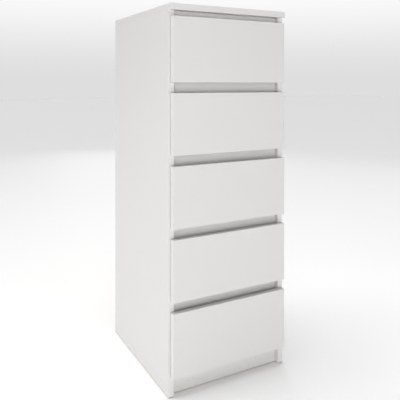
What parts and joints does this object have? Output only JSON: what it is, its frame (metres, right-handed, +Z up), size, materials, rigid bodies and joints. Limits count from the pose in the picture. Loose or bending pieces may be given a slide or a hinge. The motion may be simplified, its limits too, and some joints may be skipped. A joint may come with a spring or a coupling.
{
  "type": "tall chest of drawers",
  "caption": "Tall narrow white chest of handle-less drawers, pulled by the gaps between their fronts, in a flat-pack carcass with roller runners.",
  "frame": {"origin": "on the floor, under the middle of the whole chest's width and depth", "axes": "+Z up, X across the width, and the drawers open towards -Y"},
  "size_m": [0.4, 0.4736, 1.118],
  "materials": {
    "white_board": "chipboard with a satin white melamine face and a matching edge band",
    "box_foil": "chipboard wrapped in matt white foil",
    "hardboard": "thin hardboard, raw brown on the hidden face and white lacquered inside",
    "runner_steel": "pressed steel with a white epoxy coat",
    "roller_plastic": "moulded acetal",
    "cam_zinc": "die-cast zinc cams with plated steel bolts",
    "nail_steel": "bright steel",
    "beech": "turned beech",
    "glide_plastic": "moulded polyethylene"
  },
  "bodies": {
    "carcass": {"left_side_panel": "white_board", "right_side_panel": "white_board", "top_panel": "white_board", "bottom_panel": "white_board", "back_panel": "hardboard", "plinth": "white_board", "top_rail": "white_board", "cross_rail_1": "white_board", "cross_rail_2": "white_board", "cross_rail_3": "white_board", "cross_rail_4": "white_board", "floor_glides": "glide_plastic", "back_nails": "nail_steel", "cam_locks": "cam_zinc", "wood_dowels": "beech", "cabinet_runners_1": "runner_steel", "cabinet_runners_2": "runner_steel", "cabinet_runners_3": "runner_steel", "cabinet_runners_4": "runner_steel", "cabinet_runners_5": "runner_steel"},
    "drawer_1": {"drawer_1_front": "white_board", "drawer_1_left_side": "box_foil", "drawer_1_right_side": "box_foil", "drawer_1_back": "box_foil", "drawer_1_bottom": "hardboard", "drawer_1_runners": "runner_steel"},
    "cabinet_rollers_1": {"cabinet_rollers_1": "roller_plastic"},
    "drawer_1_rollers": {"drawer_1_rollers": "roller_plastic"},
    "drawer_2": {"drawer_2_front": "white_board", "drawer_2_left_side": "box_foil", "drawer_2_right_side": "box_foil", "drawer_2_back": "box_foil", "drawer_2_bottom": "hardboard", "drawer_2_runners": "runner_steel"},
    "cabinet_rollers_2": {"cabinet_rollers_2": "roller_plastic"},
    "drawer_2_rollers": {"drawer_2_rollers": "roller_plastic"},
    "drawer_3": {"drawer_3_front": "white_board", "drawer_3_left_side": "box_foil", "drawer_3_right_side": "box_foil", "drawer_3_back": "box_foil", "drawer_3_bottom": "hardboard", "drawer_3_runners": "runner_steel"},
    "cabinet_rollers_3": {"cabinet_rollers_3": "roller_plastic"},
    "drawer_3_rollers": {"drawer_3_rollers": "roller_plastic"},
    "drawer_4": {"drawer_4_front": "white_board", "drawer_4_left_side": "box_foil", "drawer_4_right_side": "box_foil", "drawer_4_back": "box_foil", "drawer_4_bottom": "hardboard", "drawer_4_runners": "runner_steel"},
    "cabinet_rollers_4": {"cabinet_rollers_4": "roller_plastic"},
    "drawer_4_rollers": {"drawer_4_rollers": "roller_plastic"},
    "drawer_5": {"drawer_5_front": "white_board", "drawer_5_left_side": "box_foil", "drawer_5_right_side": "box_foil", "drawer_5_back": "box_foil", "drawer_5_bottom": "hardboard", "drawer_5_runners": "runner_steel"},
    "cabinet_rollers_5": {"cabinet_rollers_5": "roller_plastic"},
    "drawer_5_rollers": {"drawer_5_rollers": "roller_plastic"}
  },
  "joints": [
    {"name": "drawer_1_slide", "type": "slide", "parent": "carcass", "child": "drawer_1", "axis": [0, -1, 0], "range_m": [0, 0.3]},
    {"name": "cabinet_rollers_1_spin", "type": "hinge", "parent": "carcass", "child": "cabinet_rollers_1", "pos_m": [0, -0.20325, 0.9222], "axis": [1, 0, 0], "continuous": true},
    {"name": "drawer_1_rollers_spin", "type": "hinge", "parent": "drawer_1", "child": "drawer_1_rollers", "pos_m": [0, 0.16725, 0.9203], "axis": [1, 0, 0], "continuous": true},
    {"name": "drawer_2_slide", "type": "slide", "parent": "carcass", "child": "drawer_2", "axis": [0, -1, 0], "range_m": [0, 0.3]},
    {"name": "cabinet_rollers_2_spin", "type": "hinge", "parent": "carcass", "child": "cabinet_rollers_2", "pos_m": [0, -0.20325, 0.7152], "axis": [1, 0, 0], "continuous": true},
    {"name": "drawer_2_rollers_spin", "type": "hinge", "parent": "drawer_2", "child": "drawer_2_rollers", "pos_m": [0, 0.16725, 0.7133], "axis": [1, 0, 0], "continuous": true},
    {"name": "drawer_3_slide", "type": "slide", "parent": "carcass", "child": "drawer_3", "axis": [0, -1, 0], "range_m": [0, 0.3]},
    {"name": "cabinet_rollers_3_spin", "type": "hinge", "parent": "carcass", "child": "cabinet_rollers_3", "pos_m": [0, -0.20325, 0.5082], "axis": [1, 0, 0], "continuous": true},
    {"name": "drawer_3_rollers_spin", "type": "hinge", "parent": "drawer_3", "child": "drawer_3_rollers", "pos_m": [0, 0.16725, 0.5063], "axis": [1, 0, 0], "continuous": true},
    {"name": "drawer_4_slide", "type": "slide", "parent": "carcass", "child": "drawer_4", "axis": [0, -1, 0], "range_m": [0, 0.3]},
    {"name": "cabinet_rollers_4_spin", "type": "hinge", "parent": "carcass", "child": "cabinet_rollers_4", "pos_m": [0, -0.20325, 0.3012], "axis": [1, 0, 0], "continuous": true},
    {"name": "drawer_4_rollers_spin", "type": "hinge", "parent": "drawer_4", "child": "drawer_4_rollers", "pos_m": [0, 0.16725, 0.2993], "axis": [1, 0, 0], "continuous": true},
    {"name": "drawer_5_slide", "type": "slide", "parent": "carcass", "child": "drawer_5", "axis": [0, -1, 0], "range_m": [0, 0.3]},
    {"name": "cabinet_rollers_5_spin", "type": "hinge", "parent": "carcass", "child": "cabinet_rollers_5", "pos_m": [0, -0.20325, 0.0942], "axis": [1, 0, 0], "continuous": true},
    {"name": "drawer_5_rollers_spin", "type": "hinge", "parent": "drawer_5", "child": "drawer_5_rollers", "pos_m": [0, 0.16725, 0.0923], "axis": [1, 0, 0], "continuous": true}
  ],
  "couplings": [
    {"joint": "cabinet_rollers_1_spin", "follows": "drawer_1_slide", "rad_per_m": 111.11},
    {"joint": "drawer_1_rollers_spin", "follows": "drawer_1_slide", "rad_per_m": 111.11},
    {"joint": "cabinet_rollers_2_spin", "follows": "drawer_2_slide", "rad_per_m": 111.11},
    {"joint": "drawer_2_rollers_spin", "follows": "drawer_2_slide", "rad_per_m": 111.11},
    {"joint": "cabinet_rollers_3_spin", "follows": "drawer_3_slide", "rad_per_m": 111.11},
    {"joint": "drawer_3_rollers_spin", "follows": "drawer_3_slide", "rad_per_m": 111.11},
    {"joint": "cabinet_rollers_4_spin", "follows": "drawer_4_slide", "rad_per_m": 111.11},
    {"joint": "drawer_4_rollers_spin", "follows": "drawer_4_slide", "rad_per_m": 111.11},
    {"joint": "cabinet_rollers_5_spin", "follows": "drawer_5_slide", "rad_per_m": 111.11},
    {"joint": "drawer_5_rollers_spin", "follows": "drawer_5_slide", "rad_per_m": 111.11}
  ]
}
